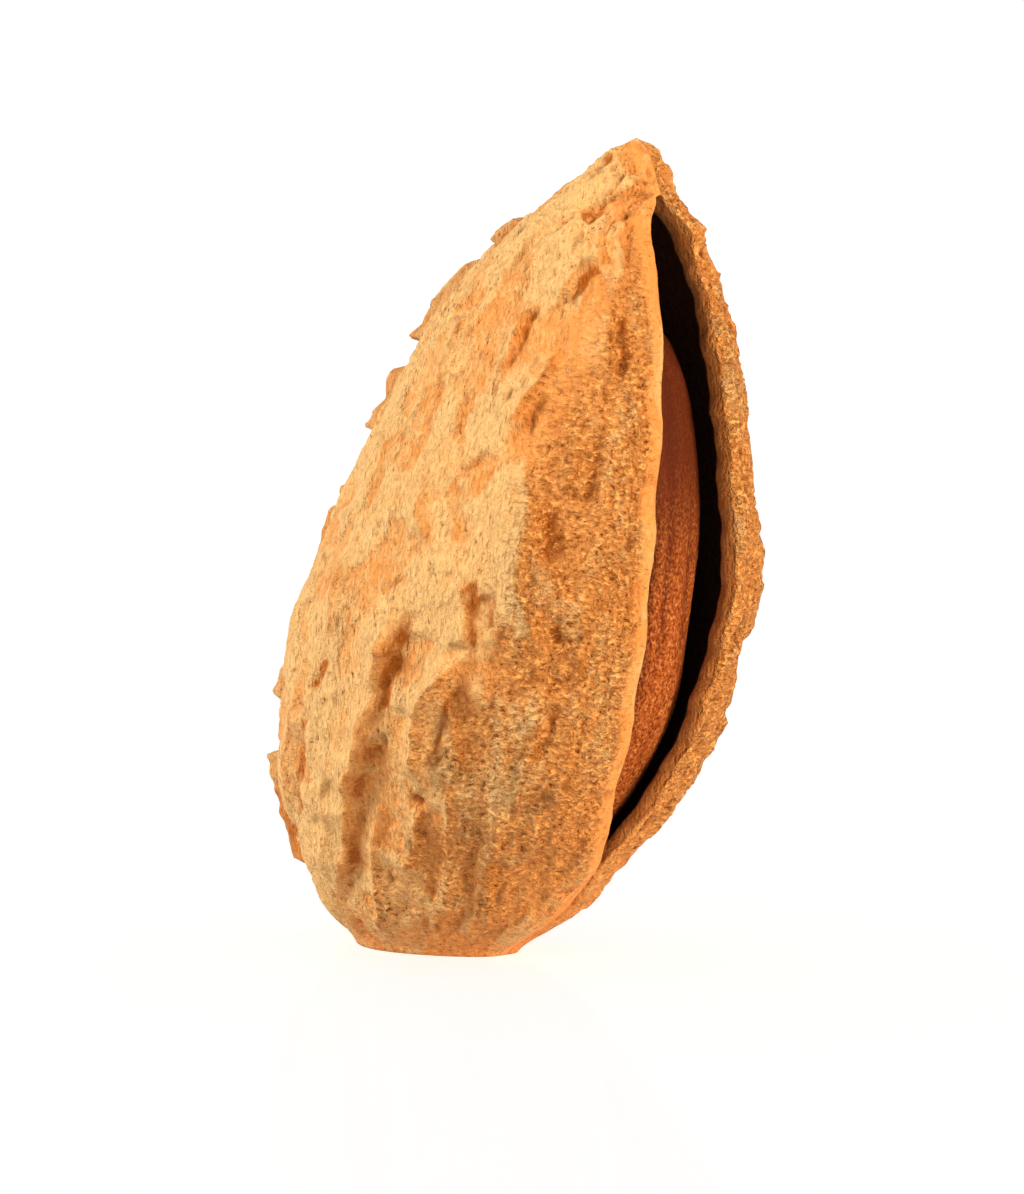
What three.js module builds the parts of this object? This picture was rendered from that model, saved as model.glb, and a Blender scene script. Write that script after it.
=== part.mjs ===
// Almond in its shell, standing on its blunt end, with one seam split open.
// Lengths are millimetres and turns are degrees. Z is up and the seam plane is Y = 0.
// The split seam faces +X, the closed back edge faces -X, the front half lies on -Y.
import * as THREE from 'three';

// Driving dimensions
const HALF_THICKNESS = 7.6;
const SPLIT_WIDTH = 5.6;
const WALL_SIDE = 1.5;
const WALL_SEAM = 1.0;
const WALL_BACK = 3.0;
const KERNEL_HALF_THICKNESS = 5.2;
const KERNEL_SHIFT_Y = 1.0;

// Outline of the nut in the seam plane, from the flat spot it stands on up to the tip.
// Each level: back x, back z, seam x, seam z, thickness share, split share, bluntness of the seam side.
const OUTLINE = [
  [-5.3, 0, 6.2, 0, 0.47, 0, 0.8],
  [-7.4, 2.4, 8.9, 2.8, 0.63, 0, 0.95],
  [-9.0, 5.6, 11.3, 5.6, 0.79, 0.16, 0.85],
  [-9.6, 9.6, 13.8, 9.8, 0.92, 0.64, 0.92],
  [-9.2, 12.8, 15.1, 13.4, 0.97, 0.84, 1],
  [-7.7, 16.8, 16.1, 17.8, 0.99, 1, 1.05],
  [-5.2, 21.0, 16.2, 22.2, 0.93, 0.88, 1.12],
  [-2.4, 25.4, 16.1, 26.4, 0.83, 0.7, 1.05],
  [1.1, 30.0, 15.5, 30.8, 0.67, 0.52, 1.1],
  [4.9, 33.2, 14.6, 33.8, 0.51, 0.32, 1.1],
  [8.9, 35.8, 13.9, 36.0, 0.34, 0, 1],
  [11.5, 37.3, 13.3, 37.4, 0.17, 0, 1],
  [12.6, 38.0, 12.6, 38.0, 0, 0, 1],
];
const [BACK_X, BACK_Z, SEAM_X, SEAM_Z, THICKNESS, SPLIT, BLUNT] = [0, 1, 2, 3, 4, 5, 6];
const TIP_LEVEL = OUTLINE.length - 1;

// Levels between which the seam is open, and how quickly the opening widens at each end
const SPLIT_LOW = 1.6;
const SPLIT_HIGH = 9.7;
const SPLIT_RAMP = 0.5;

// Levels of the floor and of the top of the hollow, and how far each end takes to round off
const HOLLOW_LOW = 1.15;
const HOLLOW_HIGH = 10.3;
const HOLLOW_LOW_ROUND = 1.0;
const HOLLOW_HIGH_ROUND = 1.6;

// Outline of the kernel, from its round end up to its point.
// Each level: height, back x, seam x, thickness share.
const KERNEL_OUTLINE = [
  [3.7, 3.6, 3.6, 0],
  [4.3, 1.1, 6.2, 0.27],
  [5.9, -0.8, 9.2, 0.56],
  [9.4, -2.9, 11.9, 0.83],
  [13.0, -3.8, 13.5, 0.97],
  [18.4, -2.2, 14.4, 0.98],
  [22.0, 0.0, 14.6, 0.91],
  [25.8, 3.1, 14.3, 0.73],
  [28.2, 7.0, 13.6, 0.47],
  [29.4, 9.2, 12.7, 0.26],
  [29.9, 10.9, 10.9, 0],
];

// Ridges of the front half: falloff towards the back, falloff towards the seam, height, path.
// A path is a list of [turn, z] from bottom to top.
const RIDGES = [
  [1.6, 0.8, 0.5, [[322, 7.5], [320, 13], [321, 16], [315, 19.5], [312, 23], [307, 27.5]]],
  [1.2, 0.7, 0.35, [[302, 23], [303, 25.5], [307, 28.5]]],
  [1.6, 0.6, 0.5, [[306, 12], [304, 15.3], [301, 17], [300, 20]]],
  [2.0, 0.6, 0.6, [[267, 5.5], [274, 8.8], [279, 10.8], [285, 12.7], [279, 14.5], [284, 18]]],
  [1.2, 0.7, 0.5, [[286, 3.5], [289, 8], [292, 11], [293, 13.3], [304, 16]]],
  [1.5, 0.8, 0.5, [[243, 2.4], [251, 6.5], [255, 9.5], [261, 16]]],
  [1.3, 0.8, 0.35, [[227, 3], [233, 8], [238, 13], [240, 17]]],
  [0.9, 0.7, 0.25, [[337, 5], [339, 10], [338, 16]]],
];

// Hollows between the ridges of the front half, in the same form with depths for heights
const GROOVES = [
  [0.5, 0.5, 0.18, [[344, 5], [348, 9.3], [350, 14], [349, 22], [347, 26.4], [341, 31.5]]],
  [1.2, 1.0, 0.3, [[337, 8], [333, 13], [332, 15.7], [326, 19.3], [321, 22.5], [318, 27]]],
  [0.7, 0.8, 0.3, [[311, 12], [309, 15.3], [306, 17.5], [305, 20]]],
  [0.7, 0.8, 0.35, [[292, 12], [288, 14.6], [290, 17.5]]],
  [0.8, 0.8, 0.3, [[256, 8], [262, 12.5], [267, 16.5]]],
  [0.9, 0.9, 0.25, [[321, 30], [317, 32], [313, 34.5]]],
];

// Dents of the front half: turn, z, radius, depth
const DENTS = [
  [299, 35.6, 0.8, 0.22],
  [298, 28.6, 1.0, 0.25],
  [308, 25, 0.9, 0.25],
  [332, 28.4, 1.1, 0.3],
  [317, 26.2, 0.9, 0.25],
  [324, 24, 1.0, 0.25],
];

// The hidden far half carries the same ridges in mirror image, moved round and up so they differ
const FAR_TURN_SHIFT = 6;
const FAR_RISE = 1.7;

// Lumps on the rim of the far half: turn, z, radius, height
const LUMPS = [
  [38, 33.9, 0.9, 0.35],
  [36, 19.4, 1.3, 0.3],
  [34, 12.2, 1.0, 0.3],
  [32, 8.4, 1.0, 0.35],
  [20, 3.0, 1.1, 0.4],
];

// Flakes standing up from the back edge, and one notch: lowest z, highest z, height
const FLAKES = [
  [1.2, 3.2, -0.4],
  [3.0, 8.9, 1.25],
  [11.0, 14.2, 0.7],
  [18.2, 22.2, 1.1],
  [24.2, 27.8, 1.6],
  [28.5, 32.7, 1.6],
  [32.9, 34.8, 1.2],
];
const FLAKE_FALLOFF = 0.9;
const FLAKE_END = 0.6;

// The flat spot is worn to straight sides between this many blunt corners
const FOOT_CORNERS = 12;
const FOOT_SIDE_SHRINK = 0.995;

// How finely each surface is divided
const LOW_ROWS = 5;
const SPLIT_ROWS = 40;
const HIGH_ROWS = 6;
const SHELL_COLUMNS = 36;
const HOLLOW_COLUMNS = 12;
const HOLLOW_END_ROWS = 3;
const KERNEL_ROWS = 28;
const KERNEL_COLUMNS = 28;
const SECTION_SAMPLES = 160;

const toRadians = (turn) => (turn * Math.PI) / 180;

// Eases from 0 to 1 while t goes from 0 to 1
function smooth(t) {
  const c = Math.min(1, Math.max(0, t));
  return c * c * (3 - 2 * c);
}

// Smooth curve through one column of a table of levels
function along(table, column, level) {
  const last = table.length - 1;
  const i = Math.min(last - 1, Math.max(0, Math.floor(level)));
  const f = Math.min(last, Math.max(0, level)) - i;
  const b = table[i][column];
  const c = table[i + 1][column];
  const a = i > 0 ? table[i - 1][column] : 2 * b - c;
  const d = i + 2 <= last ? table[i + 2][column] : 2 * c - b;
  const bend = (2 * a - 5 * b + 4 * c - d) * f * f + (3 * b - a - 3 * c + d) * f * f * f;
  return 0.5 * (2 * b + (c - a) * f + bend);
}

// Width of the open split at a level
function splitAt(level) {
  const low = smooth((level - SPLIT_LOW) / SPLIT_RAMP);
  const high = smooth((SPLIT_HIGH - level) / SPLIT_RAMP);
  return SPLIT_WIDTH * Math.max(0, along(OUTLINE, SPLIT, level)) * low * high;
}

// The halves hinge about the back edge, so the seam moves most and the back edge stays put
function hinge(level, turn) {
  const side = turn <= 180 ? 1 : -1;
  const reach = (1 + Math.cos(toRadians(turn))) / 2;
  return (side * splitAt(level) * Math.pow(reach, 1.2)) / 2;
}

// The middle and half length of the line from the back edge to the seam at a level
function section(level) {
  const bx = along(OUTLINE, BACK_X, level);
  const bz = along(OUTLINE, BACK_Z, level);
  const sx = along(OUTLINE, SEAM_X, level);
  const sz = along(OUTLINE, SEAM_Z, level);
  const thick = HALF_THICKNESS * Math.max(0, along(OUTLINE, THICKNESS, level));
  return { x: (bx + sx) / 2, z: (bz + sz) / 2, hx: (sx - bx) / 2, hz: (sz - bz) / 2, thick };
}

// Smooth outside of the shell: blunt at the seam, drawn to an edge at the back
function outside(level, turn) {
  const s = section(level);
  const c = Math.cos(toRadians(turn));
  const w = Math.sin(toRadians(turn));
  const blunt = along(OUTLINE, BLUNT, level);
  const power = blunt + (2 - blunt) * Math.pow((1 - c) / 2, 1.5);
  const y = Math.sign(w) * s.thick * Math.pow(Math.abs(w), power) + hinge(level, turn);
  return new THREE.Vector3(s.x + s.hx * c, y, s.z + s.hz * c);
}

// Wall of the hollow inside the shell
function hollow(level, turn) {
  const s = section(level);
  const low = Math.min(1, Math.max(0, (level - HOLLOW_LOW) / HOLLOW_LOW_ROUND));
  const high = Math.min(1, Math.max(0, (HOLLOW_HIGH - level) / HOLLOW_HIGH_ROUND));
  const ends = Math.sqrt(1 - (1 - low) ** 2) * Math.sqrt(1 - (1 - high) ** 2);
  const c = Math.cos(toRadians(turn));
  const w = Math.sin(toRadians(turn));
  const half = Math.max(0, s.hx - (WALL_BACK + WALL_SEAM) / 2) * ends;
  const shift = (WALL_BACK - WALL_SEAM) / 2;
  const thick = Math.max(0, s.thick - WALL_SIDE) * ends;
  const slope = s.hx > 0 ? s.hz / s.hx : 0;
  const x = shift + half * c;
  return new THREE.Vector3(s.x + x, thick * w + hinge(level, turn), s.z + slope * x);
}

// Turn of a path at height z, or null above or below the path
function turnOnPath(path, z) {
  for (let i = 0; i + 1 < path.length; i += 1) {
    const [t0, z0] = path[i];
    const [t1, z1] = path[i + 1];
    if (z >= z0 && z <= z1) {
      return t0 + ((t1 - t0) * (z - z0)) / (z1 - z0);
    }
  }
  return null;
}

// Height of one ridge where the shell is at this turn and z. radius turns degrees into millimetres.
function ridgeHeight([towardsBack, towardsSeam, height, path], turn, z, radius) {
  const centre = turnOnPath(path, z);
  if (centre === null) {
    return 0;
  }
  const across = toRadians(turn - centre) * radius;
  const t = across > 0 ? across / towardsSeam : across / towardsBack;
  const ends = smooth((z - path[0][1]) / 2) * smooth((path[path.length - 1][1] - z) / 2);
  return height * Math.exp(-t * t) * ends;
}

// Height of one round lump
function lumpHeight([lumpTurn, lumpZ, size, height], turn, z, radius) {
  const across = toRadians(turn - lumpTurn) * radius;
  return height * Math.exp(-(across * across + (z - lumpZ) ** 2) / (size * size));
}

// Relief of the shell: how far the real surface stands out from the smooth one
function relief(level, turn, z, radius) {
  const far = turn < 180;
  const frontTurn = far ? 360 - turn + FAR_TURN_SHIFT : turn;
  const frontZ = far ? z - FAR_RISE : z;
  let height = 0;
  for (const ridge of RIDGES) {
    height += ridgeHeight(ridge, frontTurn, frontZ, radius);
  }
  for (const groove of GROOVES) {
    height -= ridgeHeight(groove, frontTurn, frontZ, radius);
  }
  for (const dent of DENTS) {
    height -= lumpHeight(dent, frontTurn, frontZ, radius);
  }
  for (const lump of LUMPS) {
    height += lumpHeight(lump, turn, z, radius);
  }
  const fromBack = toRadians(turn - 180) * radius;
  for (const [low, high, tall] of FLAKES) {
    const ends = smooth((z - low) / FLAKE_END) * smooth((high - z) / FLAKE_END);
    height += tall * ends * Math.exp(-((fromBack / FLAKE_FALLOFF) ** 2));
  }
  height += 0.08 * Math.sin(toRadians(turn * 9) + z * 0.5) + 0.06 * Math.sin(z * 1.3 + turn * 0.2);
  return height * smooth(level / 0.8) * smooth((TIP_LEVEL - level) / 1.5);
}

// A point on the finished outside of the shell
function shellPoint(level, turn) {
  const s = section(level);
  const c = Math.cos(toRadians(turn));
  const w = Math.sin(toRadians(turn));
  const point = outside(level, turn);
  if (s.thick <= 0 || s.hx <= 0) {
    return point;
  }
  const away = new THREE.Vector3(c / s.hx, w / s.thick, 0).normalize();
  const radius = Math.hypot(s.hx * w, s.thick * c);
  return point.addScaledVector(away, relief(level, turn, point.z, radius));
}

// How far each lip of the split is worn back from the seam plane, in millimetres
const farWear = (z) => 0.3 + 0.1 * Math.sin(z * 1.9) + 0.07 * Math.sin(z * 4.3 + 1);
const nearWear = (z) => 0.22 + 0.12 * Math.sin(z * 1.4 + 2) + 0.3 * Math.exp(-((z - 33.4) ** 2));

// Turns of the far lip and of the near lip at a level
function lipTurns(level) {
  const s = section(level);
  const open = splitAt(level) > 0 ? 1 : 0;
  const z = s.z + s.hz;
  const far = open * THREE.MathUtils.radToDeg(farWear(z) / s.thick);
  const near = open * THREE.MathUtils.radToDeg(nearWear(z) / s.thick);
  return [far, 360 - near];
}

// Turns that divide one half of a section into equal lengths
function evenTurns(surface, level, from, to, count) {
  const lengths = [0];
  let before = surface(level, from);
  for (let k = 1; k <= SECTION_SAMPLES; k += 1) {
    const here = surface(level, from + ((to - from) * k) / SECTION_SAMPLES);
    lengths.push(lengths[k - 1] + here.distanceTo(before));
    before = here;
  }
  const turns = [from];
  let k = 0;
  for (let j = 1; j < count; j += 1) {
    const target = (lengths[SECTION_SAMPLES] * j) / count;
    while (lengths[k + 1] < target) {
      k += 1;
    }
    const part = (target - lengths[k]) / (lengths[k + 1] - lengths[k]);
    turns.push(from + ((to - from) * (k + part)) / SECTION_SAMPLES);
  }
  turns.push(to);
  return turns;
}

// All turns of one row: far lip, far half, back edge, near half, near lip
function rowTurns(surface, level, columns) {
  const [farLip, nearLip] = lipTurns(level);
  const farHalf = evenTurns(surface, level, farLip, 179.99, columns);
  const nearHalf = evenTurns(surface, level, 180.01, nearLip, columns);
  return [...farHalf.slice(0, -1), 180, ...nearHalf.slice(1)];
}

// Levels spaced evenly by the length of the seam edge and the back edge together
function evenLevels(from, to, count) {
  const steps = 400;
  const lengths = [0];
  const edge = (level) => [along(OUTLINE, BACK_X, level), along(OUTLINE, BACK_Z, level),
    along(OUTLINE, SEAM_X, level), along(OUTLINE, SEAM_Z, level)];
  let before = edge(from);
  for (let k = 1; k <= steps; k += 1) {
    const here = edge(from + ((to - from) * k) / steps);
    const back = Math.hypot(here[0] - before[0], here[1] - before[1]);
    const seam = Math.hypot(here[2] - before[2], here[3] - before[3]);
    lengths.push(lengths[k - 1] + back + seam);
    before = here;
  }
  const levels = [];
  for (let j = 0; j <= count; j += 1) {
    const target = (lengths[steps] * j) / count;
    const k = Math.max(1, lengths.findIndex((length) => length >= target - 1e-9));
    const part = (target - lengths[k - 1]) / (lengths[k] - lengths[k - 1]);
    levels.push(from + ((to - from) * (k - 1 + part)) / steps);
  }
  return levels;
}

// Collects points and triangles of one closed body
class Body {
  constructor() {
    this.points = [];
    this.faces = [];
  }

  add(point) {
    this.points.push(point.x, point.y, point.z);
    return this.points.length / 3 - 1;
  }

  at(number) {
    return new THREE.Vector3().fromArray(this.points, 3 * number);
  }

  move(number, point) {
    point.toArray(this.points, 3 * number);
  }

  triangle(a, b, c) {
    if (a !== b && b !== c && a !== c) {
      this.faces.push(a, b, c);
    }
  }

  // Four corners in order, anticlockwise seen from outside
  quad(a, b, c, d) {
    this.triangle(a, b, c);
    this.triangle(a, c, d);
  }

  // Joins two rows of equal length, the second above the first
  band(lower, upper, inward) {
    for (let j = 0; j + 1 < lower.length; j += 1) {
      if (inward) {
        this.quad(lower[j], upper[j], upper[j + 1], lower[j + 1]);
      } else {
        this.quad(lower[j], lower[j + 1], upper[j + 1], upper[j]);
      }
    }
  }

  // Closes a row with one point, above or below it
  cap(row, centre, flip) {
    for (let j = 0; j + 1 < row.length; j += 1) {
      if (flip) {
        this.triangle(row[j + 1], row[j], centre);
      } else {
        this.triangle(row[j], row[j + 1], centre);
      }
    }
  }

  geometry() {
    const geometry = new THREE.BufferGeometry();
    geometry.setAttribute('position', new THREE.Float32BufferAttribute(this.points, 3));
    geometry.setIndex(this.faces);
    geometry.computeVertexNormals();
    return geometry;
  }
}

// One row of points. An unsplit row closes on itself at the seam.
function addRow(body, surface, level, turns, split) {
  const row = turns.slice(0, -1).map((turn) => body.add(surface(level, turn)));
  row.push(split ? body.add(surface(level, turns[turns.length - 1])) : row[0]);
  return row;
}

// Draws the rim of the flat spot straight between its corners, and a hair inwards
function straightenFoot(body, rim) {
  const sideLength = (rim.length - 1) / FOOT_CORNERS;
  const corners = rim.map((number) => body.at(number));
  for (let j = 0; j + 1 < rim.length; j += 1) {
    const part = (j % sideLength) / sideLength;
    if (part > 0) {
      const from = corners[j - (j % sideLength)];
      const to = corners[j - (j % sideLength) + sideLength];
      body.move(rim[j], from.clone().lerp(to, part).multiplyScalar(FOOT_SIDE_SHRINK));
    }
  }
}

// The woody shell: outside skin, hollow, and the two cut lips that join them
function buildShell() {
  const body = new Body();
  const splitLevels = evenLevels(SPLIT_LOW, SPLIT_HIGH, SPLIT_ROWS);
  const isOpen = (level) => level > splitLevels[0] && level < splitLevels[SPLIT_ROWS];

  const lowLevels = evenLevels(0, SPLIT_LOW, LOW_ROWS).slice(0, -1);
  const highLevels = evenLevels(SPLIT_HIGH, TIP_LEVEL, HIGH_ROWS).slice(1, -1);
  const outerLevels = [...lowLevels, ...splitLevels, ...highLevels];
  const outerRows = outerLevels.map((level) => (
    addRow(body, shellPoint, level, rowTurns(outside, level, SHELL_COLUMNS), isOpen(level))
  ));
  straightenFoot(body, outerRows[0]);
  outerRows.slice(1).forEach((row, i) => body.band(outerRows[i], row, false));
  const foot = section(0);
  body.cap(outerRows[0], body.add(new THREE.Vector3(foot.x, 0, 0)), true);
  const tip = section(TIP_LEVEL);
  body.cap(outerRows[outerRows.length - 1], body.add(new THREE.Vector3(tip.x, 0, tip.z)), false);

  const floorLevels = [];
  const topLevels = [];
  for (let k = 1; k < HOLLOW_END_ROWS; k += 1) {
    const t = (k / HOLLOW_END_ROWS) ** 2;
    floorLevels.push(HOLLOW_LOW + (SPLIT_LOW - HOLLOW_LOW) * t);
    topLevels.unshift(HOLLOW_HIGH - (HOLLOW_HIGH - SPLIT_HIGH) * t);
  }
  const innerLevels = [...floorLevels, ...splitLevels, ...topLevels];
  const innerRows = innerLevels.map((level) => (
    addRow(body, hollow, level, rowTurns(hollow, level, HOLLOW_COLUMNS), isOpen(level))
  ));
  innerRows.slice(1).forEach((row, i) => body.band(innerRows[i], row, true));
  body.cap(innerRows[0], body.add(hollow(HOLLOW_LOW, 0)), false);
  body.cap(innerRows[innerRows.length - 1], body.add(hollow(HOLLOW_HIGH, 0)), true);

  for (let i = 0; i < SPLIT_ROWS; i += 1) {
    const outer = outerRows[lowLevels.length + i];
    const outerNext = outerRows[lowLevels.length + i + 1];
    const inner = innerRows[floorLevels.length + i];
    const innerNext = innerRows[floorLevels.length + i + 1];
    body.quad(outer[0], outerNext[0], innerNext[0], inner[0]);
    const [end, innerEnd] = [2 * SHELL_COLUMNS, 2 * HOLLOW_COLUMNS];
    body.quad(outerNext[end], outer[end], inner[innerEnd], innerNext[innerEnd]);
  }
  return body.geometry();
}

// A point on the wrinkled skin of the kernel
function kernelPoint(level, turn) {
  const z = along(KERNEL_OUTLINE, 0, level);
  const back = along(KERNEL_OUTLINE, 1, level);
  const seam = along(KERNEL_OUTLINE, 2, level);
  const thick = KERNEL_HALF_THICKNESS * Math.max(0, along(KERNEL_OUTLINE, 3, level));
  const wrinkle = 0.012 * Math.cos(toRadians(turn * 7 + z * 6)) + 0.008 * Math.cos(toRadians(turn * 12));
  const grow = 1 - 0.02 + wrinkle;
  const x = (back + seam) / 2 + ((seam - back) / 2) * grow * Math.cos(toRadians(turn));
  return new THREE.Vector3(x, KERNEL_SHIFT_Y + thick * grow * Math.sin(toRadians(turn)), z);
}

// The kernel: a flat almond drop with its point up
function buildKernel() {
  const body = new Body();
  const last = KERNEL_OUTLINE.length - 1;
  const rows = [];
  for (let i = 1; i < KERNEL_ROWS; i += 1) {
    const row = [];
    for (let j = 0; j < KERNEL_COLUMNS; j += 1) {
      row.push(body.add(kernelPoint((last * i) / KERNEL_ROWS, (360 * j) / KERNEL_COLUMNS)));
    }
    row.push(row[0]);
    rows.push(row);
  }
  rows.slice(1).forEach((row, i) => body.band(rows[i], row, false));
  body.cap(rows[0], body.add(kernelPoint(0, 0)), true);
  body.cap(rows[rows.length - 1], body.add(kernelPoint(last, 0)), false);
  return body.geometry();
}

const shell = new THREE.Mesh(buildShell(), new THREE.MeshStandardMaterial({
  name: 'shell',
  color: '#d9a062',
  roughness: 0.8,
  metalness: 0,
}));
shell.name = 'shell';

const kernel = new THREE.Mesh(buildKernel(), new THREE.MeshStandardMaterial({
  name: 'kernel',
  color: '#8a4a20',
  roughness: 0.7,
  metalness: 0,
}));
kernel.name = 'kernel';

const group = new THREE.Group();
group.name = 'almond';
group.add(shell, kernel);

export default group;
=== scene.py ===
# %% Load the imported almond
import itertools
import math

import bpy
import numpy as np
from mathutils import Matrix, Vector


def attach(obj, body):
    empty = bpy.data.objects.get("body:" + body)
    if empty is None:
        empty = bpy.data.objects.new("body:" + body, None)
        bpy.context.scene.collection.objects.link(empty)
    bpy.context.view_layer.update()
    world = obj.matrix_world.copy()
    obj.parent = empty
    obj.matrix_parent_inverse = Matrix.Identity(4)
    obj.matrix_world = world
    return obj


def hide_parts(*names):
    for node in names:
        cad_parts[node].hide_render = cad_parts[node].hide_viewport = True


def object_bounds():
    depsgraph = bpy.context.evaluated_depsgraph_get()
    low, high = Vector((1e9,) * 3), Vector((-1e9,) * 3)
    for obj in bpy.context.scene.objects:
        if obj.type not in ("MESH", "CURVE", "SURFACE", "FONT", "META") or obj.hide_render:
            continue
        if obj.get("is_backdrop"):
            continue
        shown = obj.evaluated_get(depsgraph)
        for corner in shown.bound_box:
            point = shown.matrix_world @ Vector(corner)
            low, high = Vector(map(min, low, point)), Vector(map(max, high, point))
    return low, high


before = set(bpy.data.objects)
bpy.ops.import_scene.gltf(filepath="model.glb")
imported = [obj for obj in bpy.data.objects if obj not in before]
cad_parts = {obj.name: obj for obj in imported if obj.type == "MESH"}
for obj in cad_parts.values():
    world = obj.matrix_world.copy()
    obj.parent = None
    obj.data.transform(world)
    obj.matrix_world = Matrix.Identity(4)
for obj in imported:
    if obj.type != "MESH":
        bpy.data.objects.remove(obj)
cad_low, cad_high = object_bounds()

print("solid model box", list(cad_low), list(cad_high))

# %% [markdown]
# ## Millimetres of the nut
# The nut stands 38 mm high on its blunt end, and Blender works in metres. All sizes below are
# millimetres of the nut, worked out once from the height of the solid model, so the fine surface
# always fits the solid that it covers. The open seam faces +X, the closed back edge faces -X.

# %% One millimetre
STANDING_HEIGHT = 38.0
MM = (cad_high.z - cad_low.z) / STANDING_HEIGHT
print("one millimetre is", round(MM, 6), "metres")

# %% [markdown]
# ## The outline of the shell
# A nut is a smooth drop with a keel. It could be sculpted by hand, but its outline in the seam plane
# says nearly all of it: a few levels with the place of the back edge, the place of the seam, the
# thickness, how far the split gapes and how blunt the seam side is. A smooth curve runs through each
# column of the table, so the same numbers give the coarse solid and this fine skin.

# %% Levels of the outline
# back x, back z, seam x, seam z, thickness share, split share, bluntness of the seam side
OUTLINE = np.array([
    [-5.3, 0.0, 6.2, 0.0, 0.47, 0.0, 0.8],
    [-7.4, 2.4, 8.9, 2.8, 0.63, 0.0, 0.95],
    [-9.0, 5.6, 11.3, 5.6, 0.79, 0.16, 0.85],
    [-9.6, 9.6, 13.8, 9.8, 0.92, 0.64, 0.92],
    [-9.2, 12.8, 15.1, 13.4, 0.97, 0.84, 1.0],
    [-7.7, 16.8, 16.1, 17.8, 0.99, 1.0, 1.05],
    [-5.2, 21.0, 16.2, 22.2, 0.93, 0.88, 1.12],
    [-2.4, 25.4, 16.1, 26.4, 0.83, 0.7, 1.05],
    [1.1, 30.0, 15.5, 30.8, 0.67, 0.52, 1.1],
    [4.9, 33.2, 14.6, 33.8, 0.51, 0.32, 1.1],
    [8.9, 35.8, 13.9, 36.0, 0.34, 0.0, 1.0],
    [11.5, 37.3, 13.3, 37.4, 0.17, 0.0, 1.0],
    [12.6, 38.0, 12.6, 38.0, 0.0, 0.0, 1.0],
])
TIP_LEVEL = len(OUTLINE) - 1
HALF_THICKNESS = 7.6
SPLIT_WIDTH = 5.6
SPLIT_LOW = 1.6
SPLIT_HIGH = 9.7
SPLIT_RAMP = 0.5


def smooth(t):
    """Eases from 0 to 1 while t goes from 0 to 1."""
    c = np.clip(t, 0.0, 1.0)
    return c * c * (3 - 2 * c)


def along(table, column, level):
    """The smooth curve through one column of a table of levels."""
    p = table[:, column]
    last = len(p) - 1
    x = np.clip(np.asarray(level, float), 0, last)
    i = np.minimum(np.floor(x).astype(int), last - 1)
    f = x - i
    b = p[i]
    c = p[i + 1]
    a = np.where(i > 0, p[np.maximum(i - 1, 0)], 2 * b - c)
    d = np.where(i + 2 <= last, p[np.minimum(i + 2, last)], 2 * c - b)
    bend = (2 * a - 5 * b + 4 * c - d) * f**2 + (3 * b - a - 3 * c + d) * f**3
    return 0.5 * (2 * b + (c - a) * f + bend)


print("outline of", TIP_LEVEL + 1, "levels")

# %% [markdown]
# ## From levels and turns to points
# A place on the shell is a level and a turn: turn 0 is the lip of the far half, 180 the back edge and
# 360 the lip of the near half. The halves hinge about the back edge, so the seam gapes most.


# %% Smooth outside and hollow
def split_at(level):
    """Width of the open split at a level."""
    low = smooth((level - SPLIT_LOW) / SPLIT_RAMP)
    high = smooth((SPLIT_HIGH - level) / SPLIT_RAMP)
    return SPLIT_WIDTH * np.maximum(0, along(OUTLINE, 5, level)) * low * high


def hinge(level, turn):
    """How far a half has swung away from the seam plane."""
    side = np.where(turn <= 180, 1.0, -1.0)
    reach = (1 + np.cos(np.radians(turn))) / 2
    return side * split_at(level) * reach**1.2 / 2


def section(level):
    """Middle, half length and half thickness of the slice at a level."""
    back_x, back_z, seam_x, seam_z = (along(OUTLINE, k, level) for k in range(4))
    thick = HALF_THICKNESS * np.maximum(0, along(OUTLINE, 4, level))
    middle = (back_x + seam_x) / 2, (back_z + seam_z) / 2
    return *middle, (seam_x - back_x) / 2, (seam_z - back_z) / 2, thick


def outside(level, turn):
    """The smooth outside: blunt at the seam, drawn to an edge at the back."""
    x, z, half_x, half_z, thick = section(level)
    c = np.cos(np.radians(turn))
    w = np.sin(np.radians(turn))
    blunt = along(OUTLINE, 6, level)
    power = blunt + (2 - blunt) * ((1 - c) / 2) ** 1.5
    y = np.sign(w) * thick * np.abs(w) ** power + hinge(level, turn)
    return np.stack([x + half_x * c, y, z + half_z * c], -1)


WALL_SIDE = 1.5
WALL_SEAM = 1.0
WALL_BACK = 3.0
HOLLOW_LOW = 1.15
HOLLOW_HIGH = 10.3


def hollow(level, turn):
    """The wall of the hollow inside the shell."""
    x, z, half_x, half_z, thick = section(level)
    low = np.clip(level - HOLLOW_LOW, 0, 1)
    high = np.clip((HOLLOW_HIGH - level) / 1.6, 0, 1)
    ends = np.sqrt(1 - (1 - low) ** 2) * np.sqrt(1 - (1 - high) ** 2)
    c = np.cos(np.radians(turn))
    w = np.sin(np.radians(turn))
    half = np.maximum(0, half_x - (WALL_BACK + WALL_SEAM) / 2) * ends
    shift = (WALL_BACK - WALL_SEAM) / 2 + half * c
    y = np.maximum(0, thick - WALL_SIDE) * ends * w + hinge(level, turn)
    return np.stack([x + shift, y, z + half_z / half_x * shift], -1)


widest = float(np.max(split_at(np.linspace(0, TIP_LEVEL, 200))))
print("the split gapes", round(widest, 1), "mm")

# %% [markdown]
# ## Ridges, grooves and dents that the eye picks out
# The front half carries a few long ridges with a soft rise towards the back and a sharp drop towards
# the seam. They could be painted as an image, but a short list of paths keeps them in real geometry.
# Each path is a list of turns and heights, from bottom to top. The far half has the same paths in
# mirror image, moved a little, because its own can't be seen.

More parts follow.
